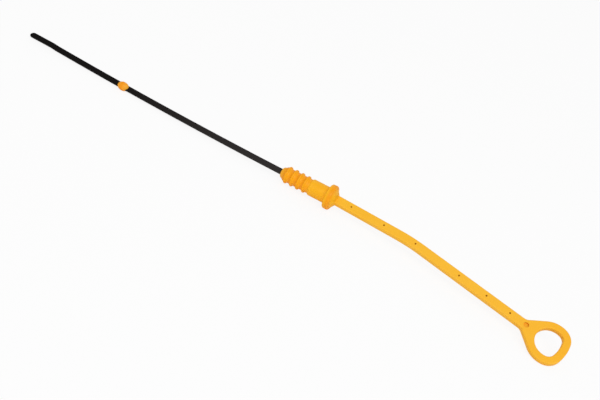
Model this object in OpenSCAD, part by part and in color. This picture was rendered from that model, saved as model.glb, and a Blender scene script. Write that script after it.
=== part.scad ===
// Engine oil dipstick: a flat steel blade with a moulded guide bead and a one-piece moulded handle.
// Millimetres, +Z up. The origin is the middle of the flange's seat, on the stopper's axis.
// The blade points to -X and the finger loop to +X. The whole thing lies as it rests on a flat
// surface, on the rim of its flange, its bead and one side of its loop.

/* [Blade] */
// Width of the strip
blade_w = 5.4; // [4:0.1:6.5]
// Thickness of the strip
blade_t = 1.2; // [0.8:0.1:1.6]
// Free length of the strip, from the stopper's nose to its end
blade_reach = 267; // [200:1:400]
// Radius of the strip's slight upward bow
blade_bow_r = 2900; // [2200:50:6000]
// Length of the measuring end, past its step
tip_len = 25; // [15:1:40]
// Height of the step that starts the measuring end
step_h = 0.6; // [0.3:0.1:2]
// Length over which the strip steps up
step_len = 5; // [3:0.5:8]
// How far the measuring end is bent back from the bow, in degrees
tip_back = 3; // [0:0.5:5]

/* [Guide bead] */
// Greatest diameter of the bead
bead_d = 7.8; // [7.2:0.1:10]
// Diameter of the bead's two flat ends
bead_end_d = 5.8; // [5.6:0.1:7]
// Length of the bead
bead_len = 9.8; // [8:0.2:16]
// Distance from the stopper's nose to the bead's middle
bead_at = 163.4; // [60:0.2:170]

/* [Stopper] */
// Diameter of the smooth barrel
barrel_d = 14; // [12:0.1:16]
// Length of the smooth barrel, up to the flange's seat
barrel_len = 16; // [12:0.2:24]
// Radius of the barrel's front edge
barrel_edge_r = 1.2; // [0.5:0.1:2]
// Diameter over the sealing ribs
rib_d = 14.6; // [12.5:0.1:17]
// Number of sealing ribs
rib_count = 4; // [2:1:6]
// Distance from one rib to the next
rib_pitch = 5.72; // [4.6:0.02:7]
// Radius of each rib's crest
rib_crest_r = 1.1; // [0.4:0.1:1.3]
// Width of each rib at its root
rib_root_w = 4.4; // [2.8:0.1:4.5]
// Diameter of the core between the ribs
core_d = 12; // [10:0.1:12.4]
// Length of the nose in front of the first rib
nose_len = 5.8; // [3:0.1:8]
// Diameter of the nose's blunt end
nose_d = 9.6; // [7.6:0.1:9.6]
// Radius of the nose's front edge
nose_edge_r = 2; // [0.5:0.1:2]

/* [Flange] */
// Diameter of the flange
flange_d = 20.9; // [18:0.1:26]
// Thickness of the flange
flange_t = 5.2; // [3:0.1:7]
// Radius of the flange's rim edges
flange_edge_r = 1.3; // [0.4:0.1:1.4]
// Diameter of the cone behind the flange, where it meets the flange
cone_d = 17.6; // [12:0.1:20]
// Diameter of the cone at its far end
cone_end_d = 8.4; // [7.4:0.1:10.5]
// Length of the cone
cone_len = 3.4; // [2:0.2:8]

/* [Bar] */
// Width of the flat bar
bar_w = 7.9; // [7.4:0.1:10]
// Thickness of the bar and the loop
bar_t = 4.9; // [3.8:0.1:6.4]
// Radius of the edges of the bar and the loop
bar_edge_r = 1.1; // [0.4:0.1:1.6]
// Angle by which the bar leaves the stopper's axis, in degrees
bar_set = 2.1; // [0:0.1:4]
// Distance along the bar from the flange to its bend
bend_at = 70.5; // [50:0.5:100]
// Angle of the bend, in degrees
bend_angle = 8.1; // [0.5:0.1:14]
// Radius of the bend
bend_r = 150; // [60:5:220]
// Diameter of the locating holes, which show the strip
pin_d = 1.5; // [1:0.1:2.4]
// Places of the first two locating holes, measured from the flange
pins_from_flange = [16.7, 46.5];
// Place of the hole at the bend, past the bend's middle
pin_past_bend = 4.3; // [0:0.1:10]
// Places of the last three holes, measured back from the middle of the loop's round
pins_from_loop = [79, 54.4, 33.8];
// Diameter of the gate's round recess
gate_d = 4; // [2:0.1:5]
// Depth of the gate's recess
gate_depth = 1.2; // [0.4:0.1:1.4]
// Place of the gate, measured back from the middle of the loop's round
gate_back = 20; // [18.5:0.5:22]
// Where the strip ends inside the bar, measured back from the middle of the loop's round
strip_end_back = 27; // [24:0.5:31]

/* [Finger loop] */
// Distance from the bend to the middle of the loop's round
loop_at = 124; // [110:1:170]
// Radius of the round part of the finger hole
loop_r = 11; // [9.5:0.1:13]
// Radius of the two far corners of the finger hole
loop_corner_r = 5.6; // [4.5:0.1:7.5]
// Angle from the loop's centre line at which the corners start, in degrees
loop_corner_angle = 78; // [66:1:86]
// Radius of the finger hole's far end
loop_end_r = 28; // [18:0.5:60]
// Width of the loop's ring
loop_w = 5.8; // [4:0.1:7]
// Angle of the two legs that join the ring to the bar, in degrees
leg_angle = 38; // [34:1:44]
// Radius of the hollows where the legs leave the bar
crotch_r = 5; // [2:0.5:12]

/* [Hidden] */
$fn = 96;

// How far a cutter runs past the surface that it cuts
past = 1;
// How deep one sub-part of the moulding is rooted in the next
root = 1.5;

// The stopper's places along its axis
first_rib_x = -barrel_len - 0.72*rib_pitch;
last_rib_x = first_rib_x - (rib_count - 1)*rib_pitch;
nose_x = last_rib_x - nose_len;

// The strip's profile: heights over the stopper's axis at a distance from the nose
step_at = blade_reach - tip_len - step_len;
bow_steps = 24;
function bow_z(d) = blade_bow_r - sqrt(blade_bow_r*blade_bow_r - d*d);
function bow_slope(d) = asin(d/blade_bow_r);
step_top_z = bow_z(step_at) + step_h + step_len*tan(bow_slope(step_at));
tip_z = step_top_z + tip_len*tan(bow_slope(step_at) - tip_back);
strip_line = [
    for (i = [0:bow_steps]) [step_at*i/bow_steps, bow_z(step_at*i/bow_steps)],
    [step_at + step_len, step_top_z],
    [blade_reach, tip_z]
];

// The bar's bend, and the centres of the finger hole's arcs
bend_reach = bend_r*tan(bend_angle/2);
bend_centre = [bend_at - bend_reach, -bend_r];
corner_x = (loop_r - loop_corner_r)*cos(loop_corner_angle);
corner_y = (loop_r - loop_corner_r)*sin(loop_corner_angle);
end_half_angle = asin(corner_y/(loop_end_r - loop_corner_r));
end_x = corner_x - (loop_end_r - loop_corner_r)*cos(end_half_angle);
ring_r = loop_r + loop_w;

// Where the hollows between the bar and the legs have their centres, seen from the loop's middle
crotch_x = bar_w/2/tan(leg_angle) - ring_r/sin(leg_angle) - crotch_r*tan(leg_angle/2);
crotch_y = bar_w/2 + crotch_r;

// The round edges of the bar and the loop: how far in each line of the edge lies, and how high
edge_steps = 3;
edge_in = [for (i = [0:edge_steps]) bar_edge_r*(1 - cos(90*i/edge_steps))];
edge_z = [for (i = [0:edge_steps]) bar_t/2 - bar_edge_r*(1 - sin(90*i/edge_steps))];

// The same lines for the hole's cutter, whose last flats run on past the bar's faces
before_last = edge_steps - 1;
flare_in = concat([for (i = [0:before_last]) edge_in[i]], 2*edge_in[edge_steps] - edge_in[before_last]);
flare_z = concat([for (i = [0:before_last]) edge_z[i]], 2*edge_z[edge_steps] - edge_z[before_last]);

// How it lies: on the flange's rim, the bead and the near side of the loop, which is rolled down.
// Each touches the same surface, and that gives the roll about the stopper and then the pitch.
flange_x = flange_t - flange_edge_r;
side_x = flange_t + bend_at*cos(bar_set) + loop_at*cos(bar_set + bend_angle);
side_y = bend_at*sin(bar_set) + loop_at*sin(bar_set + bend_angle) + ring_r - bar_edge_r;
bead_x = nose_x - bead_at;
lever = (side_x - flange_x)/(flange_x - bead_x);
bead_drop = (flange_d - bead_d)/2;
side_drop = bar_t/2 - bar_edge_r - bow_z(bead_at)*lever;
side_reach = norm([side_y, side_drop]);
rest_roll = asin((flange_d/2 + bead_drop*lever - bar_edge_r)/side_reach) - atan(side_drop/side_y);
rest_pitch = -asin((bead_drop + bow_z(bead_at)*cos(rest_roll))/(flange_x - bead_x));

// Lays the dipstick down, from its stopper's own axes to the way it rests
module at_rest() {
    rotate([0, rest_pitch, 0]) rotate([rest_roll, 0, 0]) children();
}

// Goes to a place along the bar before its bend, measured from the flange
module along_bar(distance) {
    translate([flange_t, 0, 0]) rotate([0, 0, -bar_set]) translate([distance, 0, 0]) children();
}

// Goes to a place past the bend, measured from the bend's middle
module past_bend(distance) {
    along_bar(bend_at) rotate([0, 0, -bend_angle]) translate([distance, 0, 0]) children();
}

// Points of an arc about a centre, from one angle to another
function arc(centre, r, from, to, steps = 12, first = 0) = [
    for (i = [first:steps]) let (a = from + (to - from)*i/steps) centre + r*[cos(a), sin(a)]
];

function reversed(list) = [for (i = [len(list) - 1:-1:0]) list[i]];

// Points given from the bend's middle along the bar, in the directions of the bar before its bend
function turned(points) = let (c = cos(bend_angle), s = sin(bend_angle)) [
    for (p = points) [bend_at + p.x*c + p.y*s, p.y*c - p.x*s]
];

// Outline of the strip's free length, from above, with its round end
module free_plan() {
    round_x = nose_x - blade_reach + blade_w/2;
    translate([round_x, -blade_w/2]) square([nose_x - round_x + root, blade_w]);
    translate([round_x, 0]) circle(blade_w/2);
}

// The strip's free length: its outline from above, cut to its bowed and stepped profile
module free_strip() {
    upper = [for (p = strip_line) [nose_x - p.x, p.y + blade_t/2]];
    lower = [for (p = reversed(strip_line)) [nose_x - p.x, p.y - blade_t/2]];
    inner = [[nose_x + root, -blade_t/2], [nose_x + root, blade_t/2]];
    intersection() {
        linear_extrude(2*tip_z + 2*blade_t, center = true) free_plan();
        rotate([90, 0, 0]) linear_extrude(blade_w + 2*past, center = true)
            polygon(concat(upper, lower, inner));
    }
}

// Plan of the strip inside the bar, which follows the bar and its bend
module held_plan() {
    half = blade_w/2;
    end = loop_at - strip_end_back;
    polygon(concat(
        [[-root, -half], [-root, half]], arc(bend_centre, bend_r + half, 90, 90 - bend_angle),
        turned([[end, half], [end, -half]]), arc(bend_centre, bend_r - half, 90 - bend_angle, 90)
    ));
}

module held_strip() {
    translate([nose_x, -blade_w/2, -blade_t/2]) cube([flange_t - nose_x, blade_w, blade_t]);
    along_bar(0) linear_extrude(blade_t, center = true) held_plan();
}

module strip() {
    free_strip();
    held_strip();
}

// Half section of one sealing rib: flanks that rise to a round crest
module rib_section() {
    crest_y = rib_d/2 - rib_crest_r;
    translate([crest_y, 0]) circle(rib_crest_r);
    polygon([
        [core_d/2 - root, -rib_root_w/2], [core_d/2, -rib_root_w/2], [crest_y, -rib_crest_r],
        [crest_y, rib_crest_r], [core_d/2, rib_root_w/2], [core_d/2 - root, rib_root_w/2]
    ]);
}

// Half section of the whole stopper: the radius is X and the stopper's axis is Y
module stopper_section() {
    nose_edge_y = nose_x + nose_edge_r;
    barrel_edge_y = -barrel_len + barrel_edge_r;
    polygon([
        [0, nose_x], [nose_d/2 - nose_edge_r, nose_x], [nose_d/2, nose_edge_y],
        [core_d/2, last_rib_x - rib_root_w/2], [core_d/2, -barrel_len],
        [barrel_d/2 - barrel_edge_r, -barrel_len], [barrel_d/2, barrel_edge_y],
        [barrel_d/2, flange_edge_r], [0, flange_edge_r]
    ]);
    translate([nose_d/2 - nose_edge_r, nose_edge_y]) circle(nose_edge_r);
    translate([barrel_d/2 - barrel_edge_r, barrel_edge_y]) circle(barrel_edge_r);
    for (i = [0:rib_count - 1]) translate([0, first_rib_x - i*rib_pitch]) rib_section();
    flange_section();
    polygon([
        [0, flange_t - root], [cone_d/2, flange_t - root], [cone_d/2, flange_t],
        [cone_end_d/2, flange_t + cone_len], [0, flange_t + cone_len]
    ]);
}

// Half section of the flange, with its round rim
module flange_section() {
    rim = flange_d/2 - flange_edge_r;
    square([rim, flange_t]);
    translate([0, flange_edge_r]) square([flange_d/2, flange_t - 2*flange_edge_r]);
    for (y = [flange_edge_r, flange_t - flange_edge_r]) translate([rim, y]) circle(flange_edge_r);
}

module stopper() {
    rotate([0, 90, 0]) rotate_extrude() stopper_section();
}

// The loop's far side, drawn out from its hole: corner, flatter end, corner, each less its first point
function far_side(out) = concat(
    arc([corner_x, -corner_y], loop_corner_r + out, -loop_corner_angle, -end_half_angle, 8, 1),
    arc([end_x, 0], loop_end_r + out, -end_half_angle, end_half_angle, 6, 1),
    arc([corner_x, corner_y], loop_corner_r + out, end_half_angle, loop_corner_angle, 8, 1)
);

// Outline of the finger hole, seen from the loop's middle and drawn out by a distance
function hole_outline(out) = concat(
    arc([0, 0], loop_r + out, loop_corner_angle, 360 - loop_corner_angle, 36, 1), far_side(out)
);

// Outline of the bar with its legs and its loop, drawn in by a distance, in the bar's own directions
function grip_outline(in) = let (half = bar_w/2 - in, out = loop_w - in, hollow = crotch_r + in) concat(
    [[in - root, -half]], arc(bend_centre, bend_r - half, 90, 90 - bend_angle, 8),
    turned([for (p = concat(
        arc([crotch_x, -crotch_y], hollow, 90, 90 - leg_angle, 6),
        arc([0, 0], loop_r + out, 270 - leg_angle, 360 - loop_corner_angle, 10),
        far_side(out),
        arc([0, 0], loop_r + out, loop_corner_angle, 90 + leg_angle, 10, 1),
        arc([crotch_x, crotch_y], hollow, leg_angle - 90, -90, 6)
    )) [loop_at, 0] + p]),
    arc(bend_centre, bend_r + half, 90 - bend_angle, 90, 8), [[in - root, half]]
);

// A solid through outlines of equal length, one over the other. Each outline's second half mirrors its
// first, so its two flat ends are closed by strips from one half to the other.
module layered(outlines, heights) {
    n = len(outlines[0]);
    top = (len(heights) - 1)*n;
    strips = [
        for (i = [0:(n - 3)/2]) let (j = n - 1 - i) i + 2 == j ? [i, i + 1, j] : [i, i + 1, j - 1, j]
    ];
    polyhedron(
        [for (k = [0:len(heights) - 1]) for (p = outlines[k]) [p.x, p.y, heights[k]]],
        concat(
            strips, [for (f = strips) [for (i = reversed(f)) top + i]],
            [for (k = [0:n:top - n]) for (i = [0:n - 1])
                let (a = k + i, b = k + (i + 1)%n) [a, a + n, b + n, b]]
        )
    );
}

// The bar and the loop, with round edges
module grip() {
    along_bar(0) difference() {
        layered(
            [for (d = concat(reversed(edge_in), edge_in)) grip_outline(d)],
            concat([for (z = reversed(edge_z)) -z], edge_z)
        );
        translate([bend_at, 0, 0]) rotate([0, 0, -bend_angle]) translate([loop_at, 0, 0]) layered(
            [for (d = concat(reversed(flare_in), flare_in)) hole_outline(d)],
            concat([for (z = reversed(flare_z)) -z], flare_z)
        );
    }
}

// The locating holes, through both skins down to the strip
module pin_holes() {
    for (d = pins_from_flange) along_bar(d) pin_hole();
    past_bend(pin_past_bend) pin_hole();
    for (d = pins_from_loop) past_bend(loop_at - d) pin_hole();
}

module pin_hole() {
    cylinder(h = bar_t + 2*past, d = pin_d, center = true, $fn = 32);
}

module gate() {
    past_bend(loop_at - gate_back) translate([0, 0, bar_t/2 - gate_depth])
        cylinder(h = gate_depth + past, d = gate_d, $fn = 48);
}

module blade() {
    color([0.13, 0.13, 0.12]) at_rest() strip();
}

// The bead: a barrel whose side is one arc, square on the bowed strip
module guide_bead() {
    rise = (bead_d - bead_end_d)/2;
    side_r = (bead_len*bead_len/4 + rise*rise)/(2*rise);
    color([0.95, 0.6, 0.1]) at_rest() difference() {
        translate([nose_x - bead_at, 0, bow_z(bead_at)]) rotate([0, 90 + bow_slope(bead_at), 0])
            rotate_extrude() intersection() {
                translate([bead_d/2 - side_r, 0]) circle(side_r, $fn = 360);
                translate([0, -bead_len/2]) square([bead_d, bead_len]);
            }
        strip();
    }
}

module handle() {
    color([0.98, 0.72, 0.15]) at_rest() difference() {
        union() {
            stopper();
            grip();
        }
        pin_holes();
        gate();
        strip();
    }
}

blade();
guide_bead();
handle();
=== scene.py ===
"""An engine oil dipstick: a dark steel strip, its guide bead, and the orange handle moulded round its end."""

import math

import bmesh
import bpy
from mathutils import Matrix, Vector


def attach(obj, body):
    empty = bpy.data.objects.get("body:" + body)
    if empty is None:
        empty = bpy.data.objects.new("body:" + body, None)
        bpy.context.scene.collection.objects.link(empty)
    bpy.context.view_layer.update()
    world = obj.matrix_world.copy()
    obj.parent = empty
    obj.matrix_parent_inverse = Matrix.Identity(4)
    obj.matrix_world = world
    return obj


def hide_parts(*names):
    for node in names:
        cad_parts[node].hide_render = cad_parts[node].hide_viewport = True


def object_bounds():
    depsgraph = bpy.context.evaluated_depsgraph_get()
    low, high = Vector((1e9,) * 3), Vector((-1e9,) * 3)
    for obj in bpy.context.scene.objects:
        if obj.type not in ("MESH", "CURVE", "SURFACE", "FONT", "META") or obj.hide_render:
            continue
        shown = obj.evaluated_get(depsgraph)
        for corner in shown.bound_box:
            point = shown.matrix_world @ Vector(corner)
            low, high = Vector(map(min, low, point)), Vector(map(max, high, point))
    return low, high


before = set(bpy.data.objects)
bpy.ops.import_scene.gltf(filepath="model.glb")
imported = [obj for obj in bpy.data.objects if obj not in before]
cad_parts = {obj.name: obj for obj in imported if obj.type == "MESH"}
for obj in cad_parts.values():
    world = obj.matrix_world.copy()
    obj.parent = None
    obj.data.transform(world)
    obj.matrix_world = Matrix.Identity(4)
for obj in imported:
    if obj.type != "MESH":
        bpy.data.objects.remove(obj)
cad_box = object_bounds()
bpy.ops.object.select_all(action="DESELECT")

# The blade: a strip of dark spring steel, cut to length with a round end. It bows a little along its free
# length and steps up where the oil level is read. The rest is buried in the handle, down to near the loop.

strip_w, strip_t, strip_edge_r = 0.0054, 0.0012, 0.00018
reach, bow_r = 0.267, 2.9
reading_len, step_rise, step_len, reading_back = 0.025, 0.0006, 0.005, math.radians(3)
barrel_len, rib_pitch, rib_count, nose_len, flange_t = 0.0160, 0.00572, 4, 0.0058, 0.0052
first_rib_share = 0.72
first_rib = -barrel_len - first_rib_share * rib_pitch
nose_x = first_rib - (rib_count - 1) * rib_pitch - nose_len
bar_set, bend = math.radians(2.1), math.radians(8.1)
bend_at, bend_r = 0.0705, 0.150
bend_reach = bend_r * math.tan(bend / 2)
loop_at, strip_end_back = 0.124, 0.027


def along_bar(distance, side=0.0, height=0.0):
    """A place in the stopper's own axes, measured along the bar from the flange's back."""
    turned = Vector((distance * math.cos(bar_set) + side * math.sin(bar_set),
                     side * math.cos(bar_set) - distance * math.sin(bar_set), height))
    return turned + Vector((flange_t, 0, 0))


def past_bend(distance, side=0.0, height=0.0):
    """The same, measured along the bar from the middle of its bend."""
    return along_bar(bend_at + distance * math.cos(bend) + side * math.sin(bend),
                     side * math.cos(bend) - distance * math.sin(bend), height)


def edit(piece):
    """Opens a piece's mesh for shaping."""
    bpy.context.view_layer.objects.active = piece
    bpy.ops.object.mode_set(mode="EDIT")


def leave():
    """Closes the mesh again and gives the piece."""
    bpy.ops.object.mode_set(mode="OBJECT")
    return bpy.context.object


def pull(step):
    """Extrudes what is selected by a vector."""
    bpy.ops.mesh.extrude_region_move(TRANSFORM_OT_translate={"value": tuple(step)})


bend_centre = along_bar(bend_at - bend_reach, -bend_r)
strip_end = past_bend(loop_at - strip_end_back)
bpy.ops.mesh.primitive_plane_add(size=1, location=strip_end, rotation=(0, math.pi / 2, -bar_set - bend))
blade = bpy.context.object
blade.name = "steel_blade"
blade.scale = (strip_t, strip_w, 1)
bpy.ops.object.transform_apply(location=True, rotation=True, scale=True)
edit(blade)
bpy.ops.mesh.bevel(offset=strip_edge_r, segments=2, affect="VERTICES")
pull(past_bend(bend_reach) - strip_end)
bpy.ops.mesh.spin(steps=6, angle=-bend, center=bend_centre, axis=(0, 0, 1))
pull(along_bar(0) - along_bar(bend_at - bend_reach))
pull(Vector((nose_x, 0, 0)) - along_bar(0))


def bow_z(distance):
    """How high the bow has brought the strip at this distance from the nose."""
    return bow_r - math.sqrt(bow_r * bow_r - distance * distance)


def bow_slope(distance):
    """The strip's slope there, as an angle."""
    return math.asin(distance / bow_r)


step_at, bow_steps = reach - reading_len - step_len, 24
line = [(step_at * i / bow_steps, bow_z(step_at * i / bow_steps)) for i in range(bow_steps + 1)]
line.append((step_at + step_len, bow_z(step_at) + step_rise + step_len * math.tan(bow_slope(step_at))))
end_slope = math.tan(bow_slope(step_at) - reading_back)
tip_round = strip_w / 2
line.append((reach - tip_round, line[-1][1] + (reading_len - tip_round) * end_slope))
for (x, z), (x_next, z_next) in zip(line, line[1:]):
    pull((x - x_next, 0, z_next - z))
width, (x, z) = 1.0, line[-1]
round_end = [math.radians(turn) for turn in range(10, 90, 10)]
for turn in round_end:
    x_next, wide = reach - tip_round + tip_round * math.sin(turn), math.cos(turn)
    pull((x - x_next, 0, (x_next - x) * end_slope))
    bpy.ops.transform.resize(value=(1, wide / width, 1), center_override=(nose_x - x_next, 0, 0))
    x, width = x_next, wide
bpy.ops.mesh.select_all(action="SELECT")
bpy.ops.mesh.normals_make_consistent(inside=False)
leave()


class Wire:
    """A shader socket. Arithmetic on it adds Math nodes."""

    def __init__(self, finish, socket):
        self.finish, self.socket = finish, socket

    def maths(self, operation, first, second=0.0):
        return self.finish.node("ShaderNodeMath", {"operation": operation}, {0: first, 1: second})

    def __add__(self, other):
        return self.maths("ADD", self, other)

    def __sub__(self, other):
        return self.maths("SUBTRACT", self, other)

    def __rsub__(self, other):
        return self.maths("SUBTRACT", other, self)

    def __mul__(self, other):
        return self.maths("MULTIPLY", self, other)

    def __lt__(self, other):
        return self.maths("LESS_THAN", self, other)

    def __abs__(self):
        return self.maths("ABSOLUTE", self)

    __radd__, __rmul__ = __add__, __mul__


class Finish:
    """One material of this dipstick, with its shader's constants set on the shader itself."""

    def __init__(self, name, **constants):
        self.material = bpy.data.materials.new(name)
        self.material.use_nodes = True
        self.tree = self.material.node_tree
        self.shader = self.tree.nodes["Principled BSDF"]
        for socket, value in constants.items():
            self.shader.inputs[socket.replace("_", " ")].default_value = value

    def node(self, kind, settings=None, sockets=None, output=0):
        """Adds a node with its settings and its sockets' values or links, and gives one of its outputs."""
        made = self.tree.nodes.new(kind)
        for key, value in (settings or {}).items():
            setattr(made, key, value)
        for key, value in (sockets or {}).items():
            if isinstance(value, Wire):
                self.tree.links.new(value.socket, made.inputs[key])
            else:
                made.inputs[key].default_value = value
        return Wire(self, made.outputs[output])

    def feed(self, socket, wire):
        self.tree.links.new(wire.socket, self.shader.inputs[socket])

    def own_axes(self):
        """The surface's place in the stopper's own axes, as three numbers and as one vector."""
        place = self.node("ShaderNodeTexCoord", output="Object")
        own = self.node("ShaderNodeMapping", {"vector_type": "TEXTURE"},
                        {"Vector": place, "Rotation": (rest_roll, rest_pitch, 0)})
        return [self.node("ShaderNodeSeparateXYZ", sockets={0: own}, output=i) for i in range(3)] + [own]

    def noise(self, vector, size, detail=2.0, stretch=(1, 1, 1)):
        """Soft noise whose features are about size metres across, times stretch along each axis."""
        scale = [1 / size / times for times in stretch]
        drawn = self.node("ShaderNodeMapping", sockets={"Vector": vector, "Scale": scale})
        return self.node("ShaderNodeTexNoise", sockets={"Vector": drawn, "Scale": 1.0, "Detail": detail})

    def mix(self, share, first, second):
        """Blends two colours, which a Mix node takes at its sockets 6 and 7 and gives at its output 2."""
        return self.node("ShaderNodeMix", {"data_type": "RGBA"}, {0: share, 6: first, 7: second}, output=2)

    def tones(self, x, stops):
        """A colour that goes from tone to tone along the axis, each given with its place in metres."""
        start, stop = stops[0][0], stops[-1][0]
        span = {"Value": x, "From Min": start, "From Max": stop, "To Min": 0.0, "To Max": 1.0}
        along = self.node("ShaderNodeMapRange", {"clamp": True}, span)
        drawn = self.node("ShaderNodeValToRGB", sockets={0: along})
        ramp = drawn.socket.node.color_ramp.elements
        ramp[0].color, ramp[1].color = paint(*stops[0][1]), paint(*stops[-1][1])
        for place, colour in stops[1:-1]:
            ramp.new((place - start) / (stop - start)).color = paint(*colour)
        return drawn


def paint(red, green, blue):
    """A colour as it is seen, from 0 to 255, in the shader's linear light by the sRGB curve."""
    seen = [level / 255 for level in (red, green, blue)]
    return tuple(s / 12.92 if s <= 0.04045 else ((s + 0.055) / 1.055) ** 2.4 for s in seen) + (1,)


# How it lies, on its flange's rim, its bead and the near side of its loop: first its roll, then its pitch
flange_d, flange_edge_r, bead_d, bead_at = 0.0209, 0.0013, 0.0078, 0.1634
bar_t, bar_edge_r, hole_r, ring_w = 0.0049, 0.0011, 0.011, 0.0058
ring_out = hole_r + ring_w
low_x = flange_t - flange_edge_r
side = past_bend(loop_at)
side_y = ring_out - bar_edge_r - side.y
lever = (side.x - low_x) / (low_x - nose_x + bead_at)
bead_drop = (flange_d - bead_d) / 2
side_drop = bar_t / 2 - bar_edge_r - bow_z(bead_at) * lever
rest_roll = (math.asin((flange_d / 2 + bead_drop * lever - bar_edge_r) / math.hypot(side_y, side_drop))
             - math.atan(side_drop / side_y))
rest_pitch = -math.asin((bead_drop + bow_z(bead_at) * math.cos(rest_roll)) / (low_x - nose_x + bead_at))


def lay_down(piece):
    """Turns a piece modelled in the stopper's own axes to the way the dipstick lies."""
    bpy.ops.object.select_all(action="DESELECT")
    piece.select_set(True)
    bpy.context.view_layer.objects.active = piece
    piece.rotation_euler = (rest_roll, rest_pitch, 0)
    bpy.ops.object.transform_apply(location=True, rotation=True, scale=True)


def dress(piece, node, finish):
    """Gives a piece its material and its shading, and puts it in its node's place."""
    piece.data.materials.clear()
    piece.data.materials.append(finish.material)
    bpy.ops.object.select_all(action="DESELECT")
    piece.select_set(True)
    bpy.context.view_layer.objects.active = piece
    bpy.ops.object.shade_smooth_by_angle(angle=math.radians(40))
    piece.modifiers.new("even_faces", "WEIGHTED_NORMAL").keep_sharp = True
    bpy.ops.object.modifier_apply(modifier="even_faces")
    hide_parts(node)
    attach(piece, "root")


steel = Finish("dark_spring_steel", Specular_IOR_Level=0.05)
streak_share, sheared_w, sheared_share = 0.2, 0.00008, 0.4
steel_rough, streak_rough, cloud_rough, cloud_height = 0.36, 0.16, 0.12, 0.5
x, y, _, own = steel.own_axes()
streaks = steel.noise(own, size=0.0004, detail=3.0, stretch=(60, 1, 1))
cloud = steel.noise(own, size=0.012, detail=2.0, stretch=(3, 1, 1))
tone = steel.tones(x, [(nose_x - reach, (5, 3, 3)), (nose_x - bead_at, (14, 12, 11)),
                       (nose_x - reach / 3, (38, 35, 34)), (nose_x, (49, 46, 45))])
tone = steel.mix(streaks * streak_share, tone, paint(46, 42, 40))
sheared = 1 - (abs(y) < strip_w / 2 - sheared_w)
steel.feed("Base Color", steel.mix(sheared * sheared_share, tone, paint(74, 70, 66)))
steel.feed("Roughness", steel_rough + streaks * streak_rough + cloud * cloud_rough)
steel.feed("Normal", steel.node("ShaderNodeBump", sockets={"Strength": 0.35, "Distance": 0.00004,
                                                           "Height": streaks + cloud * cloud_height}))
lay_down(blade)
dress(blade, "blade", steel)

# The guide bead: a small oval bead, moulded round the strip in the handle's plastic. It keeps the blade off
# the wall of the guide tube, so both its ends are round and narrow down on to the strip. It is turned, and
# the strip is then cut out of it.

bead_len, bead_open, bead_steps = 0.0106, math.radians(12), 24


def turned_form(name, stations, sides=96):
    """A form turned about the X axis: a disc is pulled along it, widened or narrowed at each station."""
    place, radius = stations[0]
    bpy.ops.mesh.primitive_circle_add(vertices=sides, radius=radius, fill_type="NGON", location=(place, 0, 0),
                                      rotation=(0, math.pi / 2, 0))
    piece = bpy.context.object
    piece.name = name
    bpy.ops.object.transform_apply(location=True, rotation=True, scale=True)
    edit(piece)
    for place_next, radius_next in stations[1:]:
        pull((place_next - place, 0, 0))
        grow = radius_next / radius
        bpy.ops.transform.resize(value=(1, grow, grow), center_override=(place_next, 0, 0))
        place, radius = place_next, radius_next
    bpy.ops.mesh.select_all(action="SELECT")
    bpy.ops.mesh.normals_make_consistent(inside=False)
    return leave()


def combine(piece, other, operation, keep=False):
    """Joins another form to a piece, or cuts it out of it."""
    bpy.ops.object.select_all(action="DESELECT")
    bpy.context.view_layer.objects.active = piece
    cut = piece.modifiers.new("form", "BOOLEAN")
    cut.operation, cut.object, cut.solver = operation, other, "EXACT"
    bpy.ops.object.modifier_apply(modifier="form")
    if not keep:
        bpy.data.objects.remove(other)


turns = [bead_open + (math.pi - 2 * bead_open) * i / bead_steps for i in range(bead_steps + 1)]
oval = [(-bead_len / 2 * math.cos(turn), bead_d / 2 * math.sin(turn)) for turn in turns]
bead = turned_form("guide_bead_oval", oval)
bead.rotation_euler = (0, bow_slope(bead_at), 0)
bead.location = (nose_x - bead_at, 0, bow_z(bead_at))
bead.select_set(True)
bpy.ops.object.transform_apply(location=True, rotation=True, scale=True)

gate_r, gate_depth, gate_back = 0.0020, 0.0012, 0.020
gate_floor = past_bend(loop_at - gate_back, 0, bar_t / 2 - gate_depth)
# The dimple's floor and a ring low on its wall are painted a deep orange shade. The ring lies between these
# two distances from the floor's middle, and each part is mixed in at its share.
gate_shade_in, gate_shade_out, gate_wall_shade_share, gate_floor_shade_share = 0.97 * gate_r, 1.16 * gate_r, 0.6, 0.15
seam_half, seam_share, seam_height, flow_share = 0.00009, 0.35, 0.8, 0.5
nylon_rough, flow_rough, grain_rough = 0.34, 0.14, 0.08


def moulded_plastic(name, stops):
    """The orange nylon, with its tones along the axis, which carry painted light and shade, its flow marks,
    painted shade in the dimple where the plastic went in, and the mould's parting line.
    """
    plastic = Finish(name, Specular_IOR_Level=0.22)
    x, _, z, own = plastic.own_axes()
    flow = plastic.noise(own, size=0.009, detail=3.0, stretch=(2.5, 1, 1))
    grain = plastic.noise(own, size=0.00035, detail=2.0)
    seam = abs(z) < seam_half
    tone = plastic.mix(flow * flow_share, plastic.tones(x, stops), paint(246, 166, 14))
    ends = {0: own, 1: tuple(gate_floor)}
    away = plastic.node("ShaderNodeVectorMath", {"operation": "DISTANCE"}, ends, output="Value")
    # Painted shade in the dimple where the plastic went in: a ring on its wall and, fainter, its floor.
    gate_wall_shade = (away < gate_shade_out) - (away < gate_shade_in)
    gate_shade = (away < gate_r) * gate_floor_shade_share + gate_wall_shade * gate_wall_shade_share
    tone = plastic.mix(gate_shade, tone, paint(222, 112, 2))
    plastic.feed("Base Color", plastic.mix(seam * seam_share, tone, paint(190, 122, 18)))
    plastic.feed("Roughness", nylon_rough + flow * flow_rough + grain * grain_rough)
    plastic.feed("Normal", plastic.node("ShaderNodeBump", sockets={"Strength": 0.5, "Distance": 0.00003,
                                                                   "Height": grain + seam * seam_height}))
    return plastic


lay_down(bead)
combine(bead, blade, "DIFFERENCE", keep=True)
bead_x = nose_x - bead_at
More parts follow.
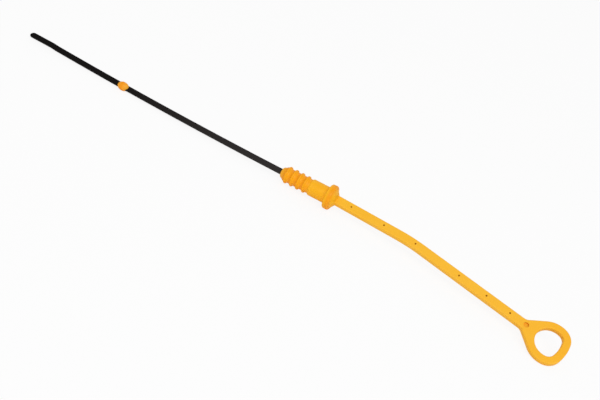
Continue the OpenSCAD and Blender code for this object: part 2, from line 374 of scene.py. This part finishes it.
# The bead's own deep orange stays in its middle. Its two ends are painted paler, a painted sheen.
bead_finish = moulded_plastic("bead_nylon", [(bead_x - bead_len / 2, (252, 184, 66)), (bead_x, (249, 148, 2)),
                                             (bead_x + bead_len / 2, (252, 182, 60))])
dress(bead, "guide_bead", bead_finish)

# The handle: one moulding in orange nylon. It has four sealing ribs, a smooth barrel, the flange that stops
# on the tube's mouth, a bent flat bar and the finger loop. Small holes left by the mould's pins show the
# strip inside it, and a round dimple by the loop is where the plastic went in.

barrel_r, barrel_edge_r, nose_r, nose_edge_r = 0.0070, 0.0012, 0.0048, 0.0020
rib_r, rib_crest_r, rib_root_w, core_r = 0.0073, 0.0011, 0.0044, 0.0060
cone_r, cone_end_r, cone_len = 0.0088, 0.0042, 0.0034


def rounding(place, radius_at, radius, start, stop, steps=5):
    """Stations round an arc, in degrees, about a centre at that place and distance from the axis."""
    turns = [math.radians(start + (stop - start) * i / steps) for i in range(steps + 1)]
    return [(place + radius * math.cos(turn), radius_at + radius * math.sin(turn)) for turn in turns]


profile = rounding(nose_x + nose_edge_r, nose_r - nose_edge_r, nose_edge_r, 180, 90)
for i in reversed(range(rib_count)):
    rib = first_rib - i * rib_pitch
    profile.append((rib - rib_root_w / 2, core_r))
    profile += rounding(rib, rib_r - rib_crest_r, rib_crest_r, 180, 0, steps=8)
    profile.append((rib + rib_root_w / 2, core_r))
profile.append((-barrel_len, core_r))
profile += rounding(-barrel_len + barrel_edge_r, barrel_r - barrel_edge_r, barrel_edge_r, 180, 90)
profile.append((0, barrel_r))
rim = flange_d / 2 - flange_edge_r
profile += rounding(flange_edge_r, rim, flange_edge_r, 180, 90)
profile += rounding(flange_t - flange_edge_r, rim, flange_edge_r, 90, 0)
profile += [(flange_t, cone_r), (flange_t + cone_len, cone_end_r)]
handle = turned_form("orange_handle", profile)

bar_w, root = 0.0079, 0.0015
corner_r, end_r = 0.0056, 0.028
corner_turn, leg_turn, crotch_r = math.radians(78), math.radians(38), 0.005
corner_in = hole_r - corner_r
corner_x, corner_y = corner_in * math.cos(corner_turn), corner_in * math.sin(corner_turn)
end_half = math.asin(corner_y / (end_r - corner_r))
end_x = corner_x - (end_r - corner_r) * math.cos(end_half)


def start_line(name, place):
    """Begins an outline with a single point."""
    bpy.ops.mesh.primitive_plane_add(size=0.001, location=place)
    piece = bpy.context.object
    piece.name = name
    bpy.ops.object.transform_apply(location=True, rotation=True, scale=True)
    edit(piece)
    bpy.ops.mesh.merge(type="CENTER")
    return piece


def line_to(place):
    """Draws the outline on to a place."""
    mesh = bmesh.from_edit_mesh(bpy.context.object.data)
    here = next(v.co for v in mesh.verts if v.select)
    pull(place - here)


def arc_about(centre, turn, steps):
    """Draws the outline on round a centre. A positive turn is clockwise from above."""
    bpy.ops.mesh.spin(steps=steps, angle=turn, center=centre, axis=(0, 0, 1))


def close_and_thicken(height):
    """Fills the finished outline and makes it a plate about the middle plane."""
    bpy.ops.mesh.select_all(action="SELECT")
    bpy.ops.mesh.remove_doubles(threshold=0.00002)
    bpy.ops.mesh.edge_face_add()
    bpy.ops.transform.translate(value=(0, 0, -height / 2))
    pull((0, 0, height))
    bpy.ops.mesh.select_all(action="SELECT")
    bpy.ops.mesh.normals_make_consistent(inside=False)
    return leave()


def round_far_side():
    """Draws the loop's far side on from where the line is: corner, flatter end, corner."""
    arc_about(past_bend(loop_at + corner_x, corner_y), corner_turn - end_half, steps=10)
    arc_about(past_bend(loop_at + end_x), 2 * end_half, steps=10)
    arc_about(past_bend(loop_at + corner_x, -corner_y), corner_turn - end_half, steps=10)


crotch_x = (loop_at - ring_out / math.sin(leg_turn) + bar_w / 2 / math.tan(leg_turn)
            - crotch_r * math.tan(leg_turn / 2))
leg_foot = [crotch_x + crotch_r * math.sin(leg_turn), bar_w / 2 + crotch_r * (1 - math.cos(leg_turn))]
leg_head = [loop_at - ring_out * math.sin(leg_turn), ring_out * math.cos(leg_turn)]
grip = start_line("grip", along_bar(-root, bar_w / 2))
line_to(along_bar(bend_at - bend_reach, bar_w / 2))
arc_about(bend_centre, bend, steps=12)
line_to(past_bend(crotch_x, bar_w / 2))
arc_about(past_bend(crotch_x, bar_w / 2 + crotch_r), -leg_turn, steps=8)
line_to(past_bend(*leg_head))
arc_about(past_bend(loop_at), math.pi / 2 + leg_turn - corner_turn, steps=16)
round_far_side()
arc_about(past_bend(loop_at), math.pi / 2 + leg_turn - corner_turn, steps=16)
line_to(past_bend(leg_foot[0], -leg_foot[1]))
arc_about(past_bend(crotch_x, -bar_w / 2 - crotch_r), -leg_turn, steps=8)
line_to(past_bend(bend_reach, -bar_w / 2))
arc_about(bend_centre, -bend, steps=12)
line_to(along_bar(-root, -bar_w / 2))
close_and_thicken(bar_t)

finger_hole = start_line("finger_hole", past_bend(loop_at + hole_r * math.cos(corner_turn),
                                                  hole_r * math.sin(corner_turn)))
round_far_side()
arc_about(past_bend(loop_at), 2 * (math.pi - corner_turn), steps=48)
close_and_thicken(bar_t * 2)
combine(grip, finger_hole, "DIFFERENCE")
edges = grip.modifiers.new("round_edges", "BEVEL")
edges.width, edges.segments = bar_edge_r, 5
edges.limit_method, edges.angle_limit = "ANGLE", math.radians(60)
bpy.ops.object.modifier_apply(modifier="round_edges")
combine(handle, grip, "UNION")


def drill(place, radius, depth, sides):
    """Cuts a round hole or recess into the handle, as deep on either side of the place."""
    bpy.ops.mesh.primitive_cylinder_add(vertices=sides, radius=radius, depth=depth * 2, location=place)
    drilled = bpy.context.object
    bpy.ops.object.transform_apply(location=True, rotation=True, scale=True)
    combine(handle, drilled, "DIFFERENCE")


pin_r = 0.00075
pins_past_flange, pin_past_bend, pins_before_loop = (0.0167, 0.0465), 0.0043, (0.079, 0.0544, 0.0338)
pin_places = [along_bar(distance) for distance in pins_past_flange] + [past_bend(pin_past_bend)]
pin_places += [past_bend(loop_at - distance) for distance in pins_before_loop]
for place in pin_places:
    drill(place, pin_r, bar_t, sides=32)
drill(past_bend(loop_at - gate_back, 0, bar_t / 2), gate_r, gate_depth, sides=48)
lay_down(handle)
combine(handle, blade, "DIFFERENCE", keep=True)
# Tones along the handle's axis, mostly painted light and shade. Each rib's groove, shifted on to its
# nose-side flank, is painted a deep orange shade, and each crest is painted lighter, as lit. The neck before
# the barrel is painted shade. The nose's end, both ends of the barrel and the flange's front edge are painted
# lighter where real shade falls. A band round the flange's rim is painted shade, and the cone behind it is
# painted light. The bar and the loop keep a near even tone, a little deeper at the loop.
groove_shade_back, crest_light_past, neck_shade_at = 0.32 * rib_pitch, 0.18 * rib_pitch, -1.07 * barrel_len
tones = [(nose_x, (254, 184, 50)), (nose_x + nose_edge_r, (253, 178, 34))]
for i in reversed(range(rib_count)):
    rib = first_rib - i * rib_pitch
    tones += [(rib - groove_shade_back, (248, 152, 0)), (rib + crest_light_past, (253, 176, 10))]
tones += [(neck_shade_at, (250, 162, 4)), (-barrel_len, (254, 186, 26)),
          (-barrel_len / 2, (252, 182, 18)), (0, (254, 186, 26)),
          (0.25 * flange_t, (254, 184, 22)), (0.6 * flange_t, (250, 158, 4)),
          (0.95 * flange_t, (250, 158, 4)), (1.2 * flange_t, (254, 190, 36)),
          (0.015, (252, 194, 50)), (0.09, (252, 194, 54)), (0.17, (251, 192, 54)), (0.21, (250, 186, 44))]
handle_finish = moulded_plastic("handle_nylon", tones)
dress(handle, "handle", handle_finish)

# The table, the light and the camera: a plain white table top that keeps the dipstick's soft shadow, an
# even pale light all round, and two long soft lamps. The main one stands before the dipstick, and a weak
# one behind it.

bpy.ops.mesh.primitive_plane_add(size=24, location=(0, 0, cad_box[0].z))
floor = bpy.context.object
floor.name = "table_top"
table = Finish("white_table", Base_Color=paint(252, 252, 252), Roughness=0.9, Specular_IOR_Level=0.1)
lit = table.node("ShaderNodeEmission", sockets={"Color": (1, 1, 1, 1), "Strength": 0.985})
even_share = 0.9
seen = table.node("ShaderNodeLightPath", output="Is Camera Ray") * even_share
shaded = Wire(table, table.shader.outputs[0])
surface = table.node("ShaderNodeMixShader", sockets={0: seen, 1: shaded, 2: lit})
table.tree.links.new(surface.socket, table.tree.nodes["Material Output"].inputs["Surface"])
floor.data.materials.append(table.material)

world = bpy.data.worlds.new("pale_room")
bpy.context.scene.world = world
world.use_nodes = True
sky = world.node_tree
rays = sky.nodes.new("ShaderNodeLightPath")
strength = sky.nodes.new("ShaderNodeMath")
strength.operation = "MULTIPLY_ADD"
room_level = 0.52
sky.links.new(rays.outputs["Is Camera Ray"], strength.inputs[0])
strength.inputs[1].default_value, strength.inputs[2].default_value = 1 - room_level, room_level
sky.nodes["Background"].inputs["Color"].default_value = (1, 1, 1, 1)
sky.links.new(strength.outputs[0], sky.nodes["Background"].inputs["Strength"])

view_azimuth, view_elevation, view_roll = math.radians(16.632), math.radians(32.441), math.radians(21.225)
view_distance, view_aim = 0.5961, Vector((-0.016787, -0.01145, -0.009402))
back = Vector((math.sin(view_azimuth) * math.cos(view_elevation),
               -math.cos(view_azimuth) * math.cos(view_elevation), math.sin(view_elevation)))
camera_data = bpy.data.cameras.new("camera")
camera = bpy.data.objects.new("camera", camera_data)
bpy.context.scene.collection.objects.link(camera)
camera.location = view_aim + back * view_distance
camera.rotation_euler = (math.pi / 2 - view_elevation, 0, view_azimuth)
camera.rotation_euler.rotate_axis("Z", view_roll)
camera_data.sensor_width, camera_data.lens = 36.0, 44.708
camera_data.clip_start, camera_data.clip_end = 0.01, 100
bpy.context.scene.camera = camera

lamps = (("main_lamp", Vector((0.55, -1.0, 1.5)), 20.0), ("fill_lamp", Vector((-0.4, 1.3, 1.0)), 3.5))
lamp_len, lamp_w = 2.4, 0.8
for name, place, power in lamps:
    lamp_data = bpy.data.lights.new(name, "AREA")
    lamp_data.shape, lamp_data.energy = "RECTANGLE", power
    lamp_data.size, lamp_data.size_y = lamp_len, lamp_w
    lamp = bpy.data.objects.new(name, lamp_data)
    bpy.context.scene.collection.objects.link(lamp)
    lamp.location = view_aim + place
    lamp.rotation_euler = place.to_track_quat("Z", "Y").to_euler()

bpy.context.scene.view_settings.view_transform = "Standard"
